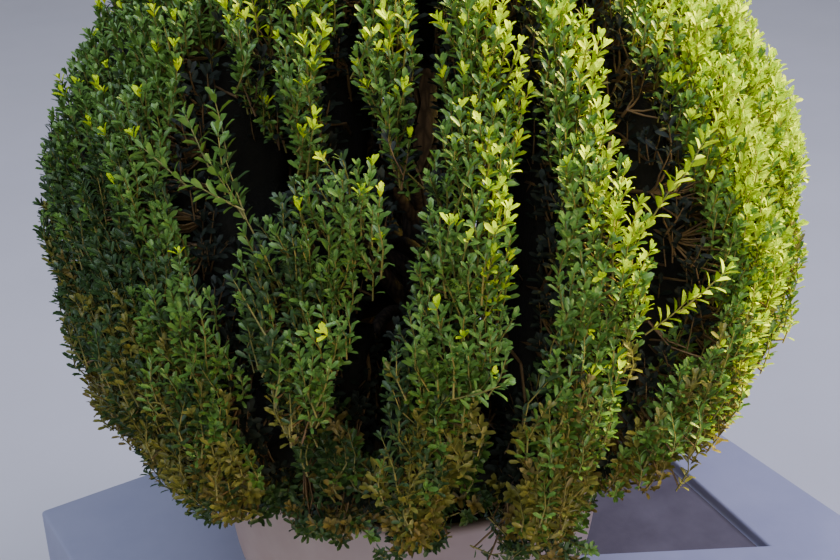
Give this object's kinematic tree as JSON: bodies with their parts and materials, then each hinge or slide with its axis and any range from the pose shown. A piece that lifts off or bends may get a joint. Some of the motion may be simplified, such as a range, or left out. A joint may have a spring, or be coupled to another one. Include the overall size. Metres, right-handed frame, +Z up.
{
  "type": "box topiary ball",
  "caption": "Clipped box ball with deep upright clefts between ribs of small leaves, growing in a round bowl that stands on a square planter.",
  "frame": {"origin": "middle of the planter's flat underside", "axes": "+Z up along the plant; +X and +Y along the planter's sides; the picture looks from about 33 degrees round from -Y towards -X"},
  "size_m": [0.9332, 0.9079, 1.2546],
  "materials": {
    "planter": "painted render, matt, slightly weathered",
    "bowl": "warm white, matt glaze",
    "soil": "damp compost",
    "bark": "rough grey-brown bark",
    "foliage": "small waxy leaves, yellow-green at the tips",
    "low_foliage": "darker shaded leaves with brown twigs"
  },
  "bodies": {
    "root": {"planter_block": "planter", "planter_top_front": "planter", "planter_top_right": "planter", "planter_top_back": "planter", "planter_top_left": "planter", "bowl": "bowl", "soil": "soil", "trunk": "bark", "bough_left_back": "bark", "bough_left": "bark", "bough_sprig_left": "bark", "bough_upper_left": "bark", "bough_low_left": "bark", "bough_upper_middle": "bark", "bough_middle": "bark", "bough_right_middle": "bark", "bough_right": "bark", "bough_right_back": "bark", "bough_back_1": "bark", "bough_back_2": "bark", "bough_back_3": "bark", "bough_back_4": "bark", "bough_back_5": "bark", "bough_back_6": "bark", "bough_back_7": "bark", "bough_foot_left": "bark", "bough_foot_right": "bark", "rib_left_back": "foliage", "rib_left": "foliage", "rib_sprig_left": "foliage", "rib_upper_left": "foliage", "rib_low_left": "foliage", "rib_upper_middle": "foliage", "rib_middle": "foliage", "rib_right_middle": "foliage", "rib_right": "foliage", "rib_right_back": "foliage", "rib_back_1": "foliage", "rib_back_2": "foliage", "rib_back_3": "foliage", "rib_back_4": "foliage", "rib_back_5": "foliage", "rib_back_6": "foliage", "rib_back_7": "foliage", "fill_foot_left": "low_foliage", "fill_foot_right": "low_foliage", "skirt_1": "low_foliage", "skirt_2": "low_foliage", "skirt_3": "low_foliage", "skirt_4": "low_foliage", "skirt_5": "low_foliage", "skirt_6": "low_foliage", "crown": "foliage"}
  },
  "joints": []
}
